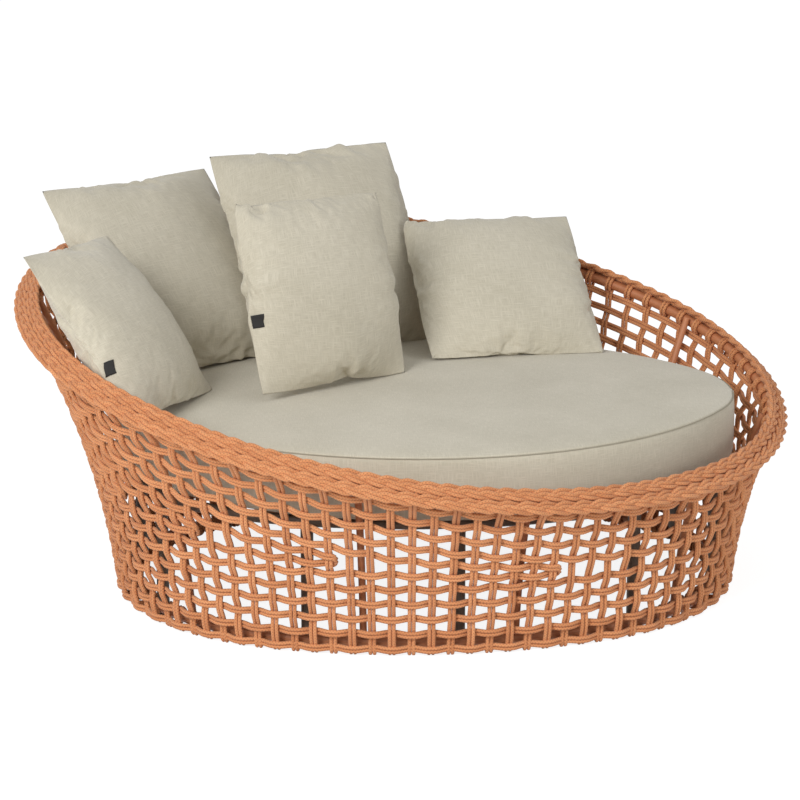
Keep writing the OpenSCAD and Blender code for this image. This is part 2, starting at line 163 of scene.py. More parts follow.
# Share of the blown-up thickness that is left right beside the seam
EDGE_SHARE = 0.18
# How far the waves of the seams are evened out: 0 leaves them, 1 makes the seams smooth
SEAM_CALM = 0.7
# A point beyond this share of half an edge is on the seam
ON_SEAM = 0.999

# Labels: width, length and thickness, lift off the cover, and the middle and turn of each on its cushion, as
# shares of half an edge and radians
TAB = (0.018, 0.030, 0.0012)
TAB_CELLS = (5, 8)
TAB_LIFT = 0.0006
# Height over the cushion's middle plane from which a ray looks for the cover
RAY_START = 0.3
# Height from which a point past the seam looks for the nearest cloth
PAST_SEAM = 0.02
TAB_LEFT = (-0.94, -0.40, -0.22)
TAB_MIDDLE = (-0.96, -0.24, 0.0)

rng = np.random.default_rng(7)


def srgb(red, green, blue):
    """A colour given in the usual 0 to 255 steps, as the linear colour that a shader takes."""
    steps = [c / 255 for c in (red, green, blue)]
    return tuple(c / 12.92 if c <= 0.04045 else ((c + 0.055) / 1.055) ** 2.4 for c in steps) + (1.0,)


ROPE_LIGHT = srgb(230, 162, 112)
ROPE_DARK = srgb(190, 120, 75)
# Painted shade: the colour that the grooves between the rope sheath's strands are darkened towards
ROPE_GROOVE_SHADE = srgb(124, 70, 40)
LINEN_LIGHT = srgb(212, 205, 187)
LINEN_DARK = srgb(181, 174, 154)
TUBE_BROWN = srgb(190, 122, 82)
TUBE_WORN = srgb(204, 140, 98)
DECK_BROWN = srgb(96, 80, 66)
DECK_WORN = srgb(120, 104, 90)
TAB_DARK = srgb(24, 23, 22)
TAB_LIGHT = srgb(44, 42, 40)
SEAM_DARK = srgb(156, 149, 132)
SEAM_LIGHT = srgb(172, 165, 147)
# The scale at which the wave texture has one band to each unit of its vector
WAVE_UNIT = 0.31
# Bands to a metre: the rope's sheath, the linen's threads, the ribs of the tabs and the stitches of the seam
SHEATH_BANDS = 1 / 0.0052
SHEATH_TURN = math.radians(38)
LINEN_BANDS = 760
RIB_BANDS = 1400
STITCH_BANDS = 900


# Outlines and stakes
def side_radius(shape):
    """The radius of an outline's two long arcs."""
    length, width, end = shape
    return (length * length + width * width - 2 * length * end) / (2 * (width - end))


def joint_angle(shape):
    """The angle faced where an end arc meets a long one."""
    length, width, end = shape
    return math.atan2(side_radius(shape) - width, length - end)


def outline_point(shape, out, facing):
    """The point of a four-arc oval whose edge faces the given angle, moved outwards by out."""
    length, width, end = shape
    turned = (facing + math.pi) % (2 * math.pi) - math.pi
    joint, side = joint_angle(shape), side_radius(shape)
    toward = Vector((math.cos(turned), math.sin(turned)))
    if abs(turned) <= joint:
        return Vector((length - end, 0)) + (end + out) * toward
    if abs(turned) >= math.pi - joint:
        return Vector((end - length, 0)) + (end + out) * toward
    return Vector((0, -math.copysign(side - width, turned))) + (side + out) * toward


def girth(shape):
    """The length once round an outline."""
    joint = joint_angle(shape)
    return 4 * shape[2] * joint + 2 * side_radius(shape) * (math.pi - 2 * joint)


def facing_at(shape, along):
    """The angle faced at an arc length round the oval, counted from its right-hand end."""
    joint = joint_angle(shape)
    end_arc = shape[2] * joint
    side_arc = side_radius(shape) * (math.pi - 2 * joint)
    lengths = np.cumsum([0, end_arc, side_arc, 2 * end_arc, side_arc, end_arc])
    angles = [0, joint, math.pi - joint, math.pi + joint, 2 * math.pi - joint, 2 * math.pi]
    return float(np.interp(along % lengths[-1], lengths, angles))


TILT = Matrix.Rotation(RIM_ROLL, 3, "Y") @ Matrix.Rotation(RIM_PITCH, 3, "X")


def rim_point(out, up, facing):
    """A point beside the rim's outline, in its tilted plane."""
    point = outline_point(RIM_OUTLINE, out, facing)
    return Vector((0, 0, RIM_HEIGHT)) + TILT @ Vector((point.x, point.y, up))


def base_point(out, z, facing):
    """A point beside the base's outline, at a height above the floor."""
    point = outline_point(BASE_OUTLINE, out, facing)
    return Vector((BASE_SHIFT[0] + point.x, BASE_SHIFT[1] + point.y, z))


def above(facing, rounds=6):
    """The angle that the rim faces where it crosses the upright plane in which the base faces this angle."""
    foot = base_point(0, 0, facing)
    along = Vector((-math.sin(facing), math.cos(facing), 0))
    joint, faced = joint_angle(RIM_OUTLINE), facing
    for _ in range(rounds):
        on_side = abs(math.sin(faced)) > math.sin(joint)
        radius = side_radius(RIM_OUTLINE) if on_side else RIM_OUTLINE[2]
        faced -= (rim_point(*TUBE, faced) - foot) @ along / radius
    return faced


class Stake:
    """The line of a standing rope: one arc in an upright plane, from its foot up to the rim tube.

    place counts the stakes round the base, and side moves the line along the wall, for one rope of a pair.
    """

    def __init__(self, place, side=0.0):
        self.facing = facing_at(BASE_OUTLINE, FIRST_STAKE + place * girth(BASE_OUTLINE) / STAKE_COUNT)
        self.outward = Vector((math.cos(self.facing), math.sin(self.facing), 0))
        self.along = Vector((-math.sin(self.facing), math.cos(self.facing), 0))
        self.foot = base_point(0, STAKE_LIFT, self.facing)
        self.rim_facing = above(self.facing)
        self.tube = rim_point(*TUBE, self.rim_facing)
        self._rise()
        if side:
            high = TILT @ Vector((-math.sin(self.rim_facing), math.cos(self.rim_facing), 0))
            low_lean, high_lean = self.rising(0) @ self.along, self.rising(self.length) @ high
            self.foot += side / math.sqrt(1 - low_lean**2) * self.along
            self.tube += side / math.sqrt(1 - high_lean**2) * high
            self._rise()

    def _rise(self):
        """Finds the arc's radius, length and first slope from its two ends."""
        chord = self.tube - self.foot
        across = chord @ self.outward
        level = chord - across * self.outward
        height = level.length
        first = math.atan2(across, height)
        ends = (2 - FOOT_SLOPE) * first
        end = Vector((across + RIM_OUTSET * math.cos(ends), height - RIM_OUTSET * math.sin(ends)))
        lean = math.atan2(end.x, end.y)
        self.up = level.normalized()
        self.slope = FOOT_SLOPE * lean
        self.radius = end.length / (2 * math.sin(lean - self.slope))
        self.length = self.radius * 2 * (lean - self.slope)

    def out(self, height):
        """The direction square to the line, out of the wall."""
        turn = self.slope + height / self.radius
        return math.cos(turn) * self.outward - math.sin(turn) * self.up

    def rising(self, height):
        """The direction of the line."""
        turn = self.slope + height / self.radius
        return math.sin(turn) * self.outward + math.cos(turn) * self.up

    def point(self, height, out=0.0):
        """The point at a height along the line, and a distance outside it."""
        turn = self.slope + height / self.radius
        across = self.radius * (math.cos(self.slope) - math.cos(turn))
        risen = self.radius * (math.sin(turn) - math.sin(self.slope))
        return self.foot + across * self.outward + risen * self.up + out * self.out(height)

    def room(self):
        """Pairs of short rows that fit between the full rows here."""
        full = FOOT_ROW + (BASE_ROWS + RIM_ROWS - 1) * ROW_PITCH + TOP_ROW_DROP
        return (self.length - full) / (2 * ROW_PITCH)

    def pairs(self):
        """How many pairs of short rows pass here."""
        return max(0, math.floor(self.room() + 1 - SHORT_ROW_SHARE))

    def lower(self, row):
        """The height of a full row, counted up from the base."""
        return FOOT_ROW + row * ROW_PITCH

    def upper(self, row):
        """The height of a full row, counted down from the rim."""
        return self.length - TOP_ROW_DROP - row * ROW_PITCH

    def step_in(self, pair):
        """How far a short row is from the nearest full one. A pair opens slowly as the wall gets taller."""
        opening = min(max(self.room() - pair + 1, 0), 1)
        return (pair - 1 + (1 + 2 * opening) / 3) * ROW_PITCH

    def lower_short(self, pair):
        return self.lower(BASE_ROWS - 1) + self.step_in(pair)

    def upper_short(self, pair):
        return self.upper(RIM_ROWS - 1) - self.step_in(pair)


# Rope meshes
def smoothed(points, closed, steps):
    """A smooth line (Catmull and Rom's) through all the points, with that many steps between neighbours."""
    points = np.array(points, float)
    count = len(points)
    spans = count if closed else count - 1
    index = np.arange(spans)

    def at(shift):
        return points[(index + shift) % count] if closed else points[np.clip(index + shift, 0, count - 1)]

    before, start, end, after = at(-1), at(0), at(1), at(2)
    line = []
    for share in np.arange(steps) / steps:
        line.append(
            0.5 * (2 * start + (end - before) * share + (2 * before - 5 * start + 4 * end - after) * share**2
                   + (3 * start - before - 3 * end + after) * share**3)
        )
    line = np.stack(line, 1).reshape(-1, points.shape[1])
    return line if closed else np.vstack([line, points[-1]])


class RopeMesh:
    """Collects swept ropes and makes them one piece, with a UV map in metres along and round each rope."""

    def __init__(self, sides=8, radius=ROPE_R):
        self.sides, self.radius = sides, radius
        self.points, self.faces, self.maps, self.tones = [], [], [], []
        self.count = 0

    def add(self, line, across, closed):
        """Sweeps a round section along the line. across holds a direction square to it at each point."""
        line, across = np.array(line, float), np.array(across, float)
        rings = len(line)
        if closed:
            ahead = np.roll(line, -1, 0) - np.roll(line, 1, 0)
        else:
            ahead = np.gradient(line, axis=0)
        ahead /= np.linalg.norm(ahead, axis=1)[:, None]
        side = np.cross(ahead, across)
        side /= np.linalg.norm(side, axis=1)[:, None]
        up = np.cross(side, ahead)
        turn = 2 * math.pi * np.arange(self.sides) / self.sides
        ring = np.cos(turn)[None, :, None] * side[:, None, :] + np.sin(turn)[None, :, None] * up[:, None, :]
        self.points.append((line[:, None, :] + self.radius * ring).reshape(-1, 3))
        steps = np.linalg.norm(np.diff(line, axis=0, append=line[:1]), axis=1)
        along = np.concatenate([[0], np.cumsum(steps)])
        spans = rings if closed else rings - 1
        i, k = np.meshgrid(np.arange(spans), np.arange(self.sides), indexing="ij")
        nxt, beside = (i + 1) % rings, (k + 1) % self.sides
        here, there = i * self.sides, nxt * self.sides
        quads = np.stack([here + k, here + beside, there + beside, there + k], -1)
        self.faces += (quads.reshape(-1, 4) + self.count).tolist()
        arc = 2 * math.pi * self.radius / self.sides
        start = rng.uniform(0, 1)
        u0, u1, v0, v1 = along[i] + start, along[i + 1] + start, k * arc, (k + 1) * arc
        self.maps.append(np.stack([u0, v0, u0, v1, u1, v1, u1, v0], -1).reshape(-1, 2))
        if not closed:
            for first, order in ((0, -1), ((rings - 1) * self.sides, 1)):
                cap = [self.count + first + n for n in range(self.sides)][::order]
                self.faces.append(cap)
                self.maps.append(np.full((self.sides, 2), start))
        self.tones.append(np.full(rings * self.sides, rng.uniform(-1, 1)))
        self.count += rings * self.sides

    def piece(self, name, material, body="frame"):
        """One object of all the ropes. Its tone attribute makes each rope a little lighter or darker."""
        mesh = bpy.data.meshes.new(name)
        mesh.from_pydata(np.vstack(self.points).tolist(), [], self.faces)
        layer = mesh.uv_layers.new(name="UVMap")
        layer.data.foreach_set("uv", np.vstack(self.maps).ravel())
        tone = mesh.attributes.new("tone", "FLOAT", "POINT")
        tone.data.foreach_set("value", np.concatenate(self.tones).astype(np.float32))
        mesh.polygons.foreach_set("use_smooth", np.ones(len(mesh.polygons), bool))
        mesh.materials.append(material)
        made = bpy.data.objects.new(name, mesh)
        bpy.context.scene.collection.objects.link(made)
        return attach(made, body)


# Materials
class Nodes:
    """A material's node tree, with short calls for the nodes that these finishes use."""

    def __init__(self, name):
        self.material = bpy.data.materials.new(name)
        self.material.use_nodes = True
        self.tree = self.material.node_tree
        self.shader = self.tree.nodes["Principled BSDF"]

    def add(self, kind, inputs=None, **settings):
        node = self.tree.nodes.new("ShaderNode" + kind)
        for key, value in settings.items():
            setattr(node, key, value)
        for key, value in (inputs or {}).items():
            self.put(node.inputs[key], value)
        return node

    def put(self, socket, value):
        if isinstance(value, bpy.types.NodeSocket):
            self.tree.links.new(value, socket)
        else:
            socket.default_value = value

    def place(self, scale=(1, 1, 1), turn=0.0, by="UV"):
        """The piece's UV map, in metres, or another of its coordinates, scaled and turned."""
        where = self.add("TexCoord").outputs[by]
        node = self.add("Mapping", {"Vector": where, "Scale": scale, "Rotation": (0, 0, turn)})
        return node.outputs["Vector"]

    def noise(self, vector, scale=1.0, detail=2.0, rough=0.5):
        node = self.add("TexNoise", {"Vector": vector, "Scale": scale, "Detail": detail, "Roughness": rough})
        return node.outputs["Fac"]

    def bands(self, count, turn=0.0):
        """Even bands over the UV map, so many to a metre."""
        vector = self.place((count, count, 1), turn)
        return self.add("TexWave", {"Vector": vector, "Scale": WAVE_UNIT, "Distortion": 0.0}).outputs["Fac"]

    def math(self, operation, a, b=0.0):
        node = self.add("Math", operation=operation)
        self.put(node.inputs[0], a)
        self.put(node.inputs[1], b)
        return node.outputs[0]

    def spread(self, value, low, high, to_low=0.0, to_high=1.0):
        """Maps the range from low to high onto another one."""
        inputs = {"Value": value, "From Min": low, "From Max": high, "To Min": to_low, "To Max": to_high}
        return self.add("MapRange", inputs).outputs["Result"]

    def mix(self, share, a, b):
        node = self.add("Mix", data_type="RGBA")
        self.put(node.inputs[0], share)
        self.put(node.inputs[6], a)
        self.put(node.inputs[7], b)
        return node.outputs[2]

    def bump(self, height, strength, distance):
        node = self.add("Bump", {"Height": height, "Strength": strength, "Distance": distance})
        self.put(self.shader.inputs["Normal"], node.outputs["Normal"])

    def finish(self, colour, roughness, **sockets):
        """Sets the shader and gives the material. A socket's name is written with _ for its spaces."""
        self.put(self.shader.inputs["Base Color"], colour)
        self.put(self.shader.inputs["Roughness"], roughness)
        for key, value in sockets.items():
            self.shader.inputs[key.replace("_", " ")].default_value = value
        return self.material


def rope_finish():
    """Soft outdoor rope: a fine plaited sheath with painted shade in its grooves, each rope a little lighter
    or darker, browner in patches.
    """
    n = Nodes("rope")
    sheath = n.math("MAXIMUM", n.bands(SHEATH_BANDS, SHEATH_TURN), n.bands(SHEATH_BANDS, -SHEATH_TURN))
    fibres = n.noise(n.place((260, 900, 1)), detail=3.0, rough=0.6)
    patches = n.noise(n.place((9, 20, 1)))
    tone = n.add("Attribute", attribute_name="tone").outputs["Fac"]
    share = n.math("ADD", n.spread(patches, 0.3, 0.7, 0.1, 0.6), n.math("MULTIPLY", tone, 0.16))
    share = n.math("ADD", share, n.spread(fibres, 0.25, 0.75, -0.25, 0.35))
    colour = n.mix(share, ROPE_LIGHT, ROPE_DARK)
    # Painted shade: the grooves between the sheath's strands are darkened towards the groove colour
    colour = n.mix(n.spread(sheath, 0.15, 0.65, 0.5, 0.0), colour, ROPE_GROOVE_SHADE)
    n.bump(n.math("ADD", sheath, n.math("MULTIPLY", fibres, 0.8)), 0.7, 0.0009)
    return n.finish(colour, 0.82, Sheen_Weight=0.15, Specular_IOR_Level=0.25)


def linen_finish(name, lighter=1.0):
    """Coarse plain-woven cover cloth: crossing threads, thick and thin, with faint streaks of colour."""
    n = Nodes(name)
    threads = n.math("MAXIMUM", n.bands(LINEN_BANDS), n.bands(LINEN_BANDS, math.radians(90)))
    thick = [n.noise(n.place(scale), rough=0.6) for scale in ((38, 620, 1), (620, 38, 1))]
    slubs = n.math("MAXIMUM", *thick)
    streaks = n.noise(n.place((5, 5, 1)))
    share = n.math("ADD", n.spread(slubs, 0.42, 0.72, 0.75, 0.05), n.spread(streaks, 0.3, 0.7, -0.18, 0.18))
    colour = n.mix(share, tuple(c * lighter for c in LINEN_LIGHT[:3]) + (1,), LINEN_DARK)
    n.bump(n.math("ADD", n.math("MULTIPLY", threads, 0.5), slubs), 0.4, 0.0006)
    return n.finish(colour, 0.92, Sheen_Weight=0.25, Specular_IOR_Level=0.2)


def tube_finish(name, colour, worn):
    """Powder-coated tube: an even coat with a faint orange-peel skin and paler rubbed spots."""
    n = Nodes(name)
    skin = n.noise(n.place(by="Object"), 420.0)
    rubbed = n.noise(n.place(by="Object"), 14.0, 5.0, 0.65)
    shade = n.mix(n.spread(rubbed, 0.45, 0.75, 0.0, 0.5), colour, worn)
    n.bump(skin, 0.15, 0.0004)
    return n.finish(shade, n.spread(rubbed, 0.3, 0.7, 0.42, 0.6))


def tab_finish():
    """Woven black ribbon."""
    n = Nodes("tab_ribbon")
    ribs = n.bands(RIB_BANDS)
    n.bump(ribs, 0.5, 0.0004)
    return n.finish(n.mix(n.spread(ribs, 0.2, 0.8), TAB_DARK, TAB_LIGHT), 0.8)


def thread_finish():
    """The shaded line of a stitched seam."""
    n = Nodes("seam_thread")
    return n.finish(n.mix(n.bands(STITCH_BANDS), SEAM_DARK, SEAM_LIGHT), 0.9, Specular_IOR_Level=0.2)


rope = rope_finish()
linen = linen_finish("cushion_linen")
mattress_linen = linen_finish("mattress_linen", 0.97)
brown_coat = tube_finish("brown_coat", TUBE_BROWN, TUBE_WORN)
deck_coat = tube_finish("deck_coat", DECK_BROWN, DECK_WORN)
tab_ribbon = tab_finish()
seam_thread = thread_finish()


# Woven wall
def row_line(height, places, swing_at):
    """A row's points and the wall's rising direction at them: out and in at the stakes, and between them."""
    line, rising = [], []
    for place in places:
        stake = Stake(place)
        at = height(stake)
        line.append(stake.point(at, ROW_SWING * swing_at(place)))
        rising.append(stake.rising(at))
    return line, rising


def lay_pair(ropes, line, rising):
    """Two ropes one above the other along a row's closed line."""
    both = smoothed(np.hstack([line, rising]), True, ROW_STEPS)
    middle, up = both[:, :3], both[:, 3:]
    up /= np.linalg.norm(up, axis=1)[:, None]
    for side in (-1, 1):
        ropes.add(middle + side * ROPE_R * up, up, True)


def swing(place, row):
    """1 where the row passes outside a stake, -1 where it passes inside, and flat over the stake's width."""
    wave = math.cos(math.pi * (place + row))
    return math.copysign(abs(wave) ** SWING_POWER, wave) if abs(wave) > 1e-6 else 0.0


def full_row(ropes, height, row):
    places = np.arange(0, STAKE_COUNT, 1 / ROW_POINTS)
    lay_pair(ropes, *row_line(height, places, lambda place: swing(place, row)))


def rim_row(row):
    """The number of a row that is counted down from the rim, as swing takes it."""
    return BASE_ROWS + RIM_ROWS - 1 - row


def weave_base_rows():
    ropes = RopeMesh()
    for row in range(BASE_ROWS):
        full_row(ropes, lambda stake, row=row: stake.lower(row), row)
    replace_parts(ropes.piece("base_row_ropes_woven", rope), "base_row_ropes")


def weave_rim_rows():
    ropes = RopeMesh()
    for row in range(RIM_ROWS):
        full_row(ropes, lambda stake, row=row: stake.upper(row), rim_row(row))
    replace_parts(ropes.piece("rim_row_ropes_woven", rope), "rim_row_ropes")


def turn_back(stake, start, end, out, way):
    """Three points that carry a row round the side of its last stake."""
    middle = (start + end) / 2
    side = way * stake.outward.cross(stake.up)
    line = [
        stake.point(start, ROW_SWING * out) + TURN_NEAR * side,
        stake.point(middle) + (PAIR_HALF + 2 * ROPE_R + TURN_PLAY) * side,
        stake.point(end, -ROW_SWING * out) + TURN_NEAR * side,
    ]
    return line, [stake.rising(at) for at in (start, middle, end)]


def weave_short_rows():
    """Rows of the wall's taller part: each runs along, turns round a stake and comes back above itself."""
    ropes = RopeMesh()
    stakes = [Stake(i) for i in range(STAKE_COUNT)]
    for pair in range(1, max(stake.pairs() for stake in stakes) + 1):
        span = [i for i, stake in enumerate(stakes) if stake.pairs() >= pair]
        first, last = span[0], span[-1]
        row = BASE_ROWS - 1 + pair
        out = np.linspace(first, last, (last - first) * ROW_POINTS + 1)
        line, rising = row_line(lambda stake: stake.lower_short(pair), out, lambda place: swing(place, row))
        end, start = stakes[last], stakes[first]
        # 1 where the cross product of a stake's outward and upright directions points on to the next stake
        way_round = 1 if (Stake(last + 1).foot - end.foot) @ end.outward.cross(end.up) > 0 else -1
        more = turn_back(end, end.lower_short(pair), end.upper_short(pair), swing(last, row), way_round)
        line, rising = line + more[0], rising + more[1]
        back = row_line(lambda stake: stake.upper_short(pair), out[::-1], lambda place: -swing(place, row))
        line, rising = line + back[0], rising + back[1]
        low, high = start.lower_short(pair), start.upper_short(pair)
        more = turn_back(start, high, low, -swing(first, row), -way_round)
        line, rising = line + more[0], rising + more[1]
        lay_pair(ropes, line, rising)
    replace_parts(ropes.piece("short_row_ropes_woven", rope), "short_row_ropes")


def wrap_points(middle, outward, up, radius, turns):
    """Points round a tube, at angles counted from its outer side upwards."""
    return [middle + radius * (math.cos(t) * outward + math.sin(t) * up) for t in map(math.radians, turns)]


def rows_at(stake, place):
    """Heights at which rows above the lowest one pass this stake, with 1 for outside and -1 for inside."""
    found = [(stake.lower(row), swing(place, row)) for row in range(1, BASE_ROWS)]
    found += [(stake.upper(row), swing(place, rim_row(row))) for row in range(RIM_ROWS)]
    for pair in range(1, stake.pairs() + 1):
        way = swing(place, BASE_ROWS - 1 + pair)
        found += [(stake.lower_short(pair), way), (stake.upper_short(pair), -way)]
    return sorted(found)


def stake_line(stake, passes):
    """A standing rope: from the base ring, round under it, up the wall and over the rim tube."""
    upright = Vector((0, 0, 1))
    ring = stake.foot.copy()
    ring.z = BASE_RING_Z
    ring -= BASE_INSET * stake.outward
    wrap = RING_TUBE_R + ROPE_R + WRAP_PLAY
    line = wrap_points(ring, stake.outward, upright, wrap, FOOT_WRAP)
    line += [stake.point(height, out) + raised * upright for height, out, raised in FOOT_BEND]
    line += [stake.point(at, -STAKE_SWING * way) for at, way in passes if at < stake.length - TOP_FREE]
    tube_out = TILT @ Vector((math.cos(stake.rim_facing), math.sin(stake.rim_facing), 0))
    return line + wrap_points(stake.tube, tube_out, TILT @ upright, wrap, HEAD_WRAP)


def stand_stakes():
    edges = [math.ceil(g * STAKE_COUNT / STAKE_GROUPS) for g in range(STAKE_GROUPS + 1)]
    for group in range(STAKE_GROUPS):
        ropes = RopeMesh()
        for i in range(edges[group], edges[group + 1]):
            passes = rows_at(Stake(i), i)
            for side in (-PAIR_HALF, PAIR_HALF):
                stake = Stake(i, side)
                line = smoothed(stake_line(stake, passes), False, STAKE_STEPS)
                ropes.add(line, np.tile(stake.along, (len(line), 1)), False)
        name = f"stakes_{group + 1}"
        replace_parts(ropes.piece(name + "_ropes", rope), name)


def plait(name, centre):
    """Three doubled ropes plaited round the rim, in an oval section that leans with the band."""
    ropes = RopeMesh(radius=BRAID_ROPE_R)
    around = girth(RIM_OUTLINE)
    repeats = round(around / BRAID_REPEAT)
    count = repeats * BRAID_STEPS
    swing_across = BRAID_WIDTH / 2 - 2 * ROPE_R
    swing_through = BRAID_THICKNESS / 2 - ROPE_R
    level, fall = math.cos(BAND_TILT), -math.sin(BAND_TILT)
    for strand in range(BRAID_STRANDS):
        for side in (-1, 1):
            line, across = [], []
            for step in range(count):
                facing = facing_at(RIM_OUTLINE, around * step / count)
                phase = 2 * math.pi * (repeats * step / count + strand / BRAID_STRANDS)
                wave = math.sin(phase) + STRAND_DWELL * math.sin(3 * phase)
                flat = swing_across * wave + side * ROPE_R
                through = swing_through * math.sin(2 * phase)
                out, up = flat * level - through * fall, flat * fall + through * level
                line.append(rim_point(centre[0] + out, centre[1] + up, facing))
                across.append(TILT @ Vector((math.cos(facing) * level, math.sin(facing) * level, fall)))
            ropes.add(line, across, True)
    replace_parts(ropes.piece(name + "_plait", rope), name)


# Soft goods
def select_only(piece):
    bpy.ops.object.select_all(action="DESELECT")
    piece.select_set(True)
    bpy.context.view_layer.objects.active = piece


def coordinates(piece):
    flat = np.empty(len(piece.data.vertices) * 3, np.float32)
    piece.data.vertices.foreach_get("co", flat)
    return flat.reshape(-1, 3).astype(float)


def set_coordinates(piece, points):
    piece.data.vertices.foreach_set("co", np.asarray(points, np.float32).ravel())
    piece.data.update()


def scale_uv(piece, width, length):
    """Brings a UV map that runs from 0 to 1 to a real width and length."""
    flat = np.empty(len(piece.data.loops) * 2, np.float32)
    piece.data.uv_layers[0].data.foreach_get("uv", flat)
    scaled = flat.reshape(-1, 2) * np.array((width, length))
    piece.data.uv_layers[0].data.foreach_set("uv", scaled.astype(np.float32).ravel())


def blow_up(piece):
    """Cloth simulation of a closed cover with air in it."""
    select_only(piece)
    before = coordinates(piece)
    cloth = piece.modifiers.new("filling", "CLOTH")
    for key, value in COVER_CLOTH.items():
        setattr(cloth.settings, key, value)
    cloth.settings.effector_weights.gravity = 0.0
    cloth.point_cache.frame_start, cloth.point_cache.frame_end = 1, FILLING_FRAMES
    for number in range(1, FILLING_FRAMES + 1):
        bpy.context.scene.frame_set(number)
    bpy.ops.object.modifier_apply(modifier=cloth.name)
    bpy.context.scene.frame_set(1)
    moved = coordinates(piece) - before
    far = np.linalg.norm(moved, axis=1)
    set_coordinates(piece, before + moved * np.minimum(1, FILLING_CAP / np.maximum(far, 1e-9))[:, None])


def dome(u, v):
    """1 at the middle of a square and 0 at its edges, for places from -1 to 1."""
    return np.sqrt(np.clip((1 - u * u) * (1 - v * v), 0, None))


def sewn_square(name, edge):
    """Two square cloths joined round their edges, still flat. Their UV map is in metres."""
    cells = CUSHION_CELLS
    bpy.ops.mesh.primitive_grid_add(x_subdivisions=cells, y_subdivisions=cells, size=edge, calc_uvs=True)
    piece = bpy.context.object
    piece.name = piece.data.name = name
    bpy.ops.object.mode_set(mode="EDIT")
    bpy.ops.mesh.select_all(action="SELECT")
    bpy.ops.mesh.duplicate()
    bpy.ops.mesh.flip_normals()
    bpy.ops.transform.translate(value=(0, 0, -1))
    bpy.ops.object.mode_set(mode="OBJECT")
    points = coordinates(piece)
    # The copy was moved down by 1 m only to tell the two cloths apart
    face = np.where(points[:, 2] > -0.5, 1.0, -1.0)
    points[:, 2] = face * START_SWELL * dome(*(points[:, :2] / (edge / 2)).T)
    set_coordinates(piece, points)
    scale_uv(piece, edge, edge)
    bpy.ops.object.mode_set(mode="EDIT")
    bpy.ops.mesh.select_all(action="SELECT")
    bpy.ops.mesh.remove_doubles(threshold=1e-5)
    bpy.ops.object.mode_set(mode="OBJECT")
    return piece


def mark_seam(piece, edge):
    """Creases the sewn edge, so that it stays a knife edge when the cloth is subdivided."""
    points = coordinates(piece)
    on_edge = np.abs(points[:, :2]).max(1) > edge / 2 - 1e-4
    crease = piece.data.attributes.new("crease_edge", "FLOAT", "EDGE")
    ends = np.empty(len(piece.data.edges) * 2, np.int32)
    piece.data.edges.foreach_get("vertices", ends)
    ends = ends.reshape(-1, 2)
    crease.data.foreach_set("value", (on_edge[ends[:, 0]] & on_edge[ends[:, 1]]).astype(np.float32))


def drawn_in(points, across, along, axis, edge):
    """How far the two seams square to an axis draw in at their middles, as a share of half an edge."""
    seams = np.abs(across) > ON_SEAM
    weight = 1 - along[seams] ** 2
    return ((1 - np.abs(points[seams, axis]) * 2 / edge) @ weight) / (weight @ weight)


def calm(points, across, along, axis, edge, drawn):
    """Evens out the folds of the two seams square to an axis, and less and less of the cloth behind them."""
    for side in (-1, 1):
        seam = across * side > ON_SEAM
        order = np.argsort(along[seam])
        at, reach = along[seam][order], np.abs(points[seam, axis])[order] * 2 / edge
        even = 1 - drawn * (1 - at * at)
        share = np.interp(along, at, (even / np.maximum(reach, 0.5)) ** SEAM_CALM)
        half = across * side > 0
        points[half, axis] *= 1 + (share[half] - 1) * np.abs(across[half])


def filled(points, flat, edge, thick):
    """Gives a blown-up cover the cushion's size, straighter sides and a filling that has settled low."""
    u, v = flat.T
    points = points.copy()
    points[:, :2] *= edge / (np.abs(points[:, :2]).max(0) * 2)
    drawn_x, drawn_y = drawn_in(points, u, v, 0, edge), drawn_in(points, v, u, 1, edge)
    calm(points, u, v, 0, edge, drawn_x)
    calm(points, v, u, 1, edge, drawn_y)
    across, along = 1 - v * v, 1 - u * u
    points[:, 0] /= 1 - drawn_x * across
    points[:, 1] *= (1 - np.where(v < 0, BOTTOM_DRAW, TOP_DRAW) * along) / (1 - drawn_y * along)
    points[:, 2] *= EDGE_SHARE + (1 - EDGE_SHARE) * dome(u, v)
    points[:, 2] *= thick / (np.abs(points[:, 2]).max() * 2) * (1 - LOW_FILL * v * across)
    return points


def finish_mesh(piece, material, subdivide=True):
    """Gives a piece its material and smooth shading, after one subdivision unless it does without."""
    piece.data.materials.clear()
    piece.data.materials.append(material)
    if subdivide:
        select_only(piece)
        smooth = piece.modifiers.new("smooth", "SUBSURF")
        smooth.levels = smooth.render_levels = 1
        bpy.ops.object.modifier_apply(modifier=smooth.name)
    piece.data.polygons.foreach_set("use_smooth", np.ones(len(piece.data.polygons), bool))


def cushion(name, size, place, turns):
    """A filled cushion leaning at its place. Gives the piece and the matrix that set it there."""
    edge, thick = size
    piece = sewn_square(name + "_cover", edge)
    mark_seam(piece, edge)
    points = coordinates(piece)
    flat = points[:, :2] * 2 / edge
    points[:, 2] += rng.normal(0, START_CREASE, len(points)) * (np.abs(points[:, 2]) > 1e-5)
    set_coordinates(piece, points)
    blow_up(piece)
    set_coordinates(piece, filled(coordinates(piece), flat, edge, thick))
    finish_mesh(piece, linen)
    yaw, lean, roll = (math.radians(t) for t in turns)
    turned = Matrix.Rotation(yaw, 4, "Z") @ Matrix.Rotation(lean + math.pi / 2, 4, "X")
    stand = Matrix.Translation(place) @ turned @ Matrix.Rotation(roll, 4, "Z")
    piece.data.transform(stand)
    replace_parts(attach(piece, name), name)
    return piece, stand


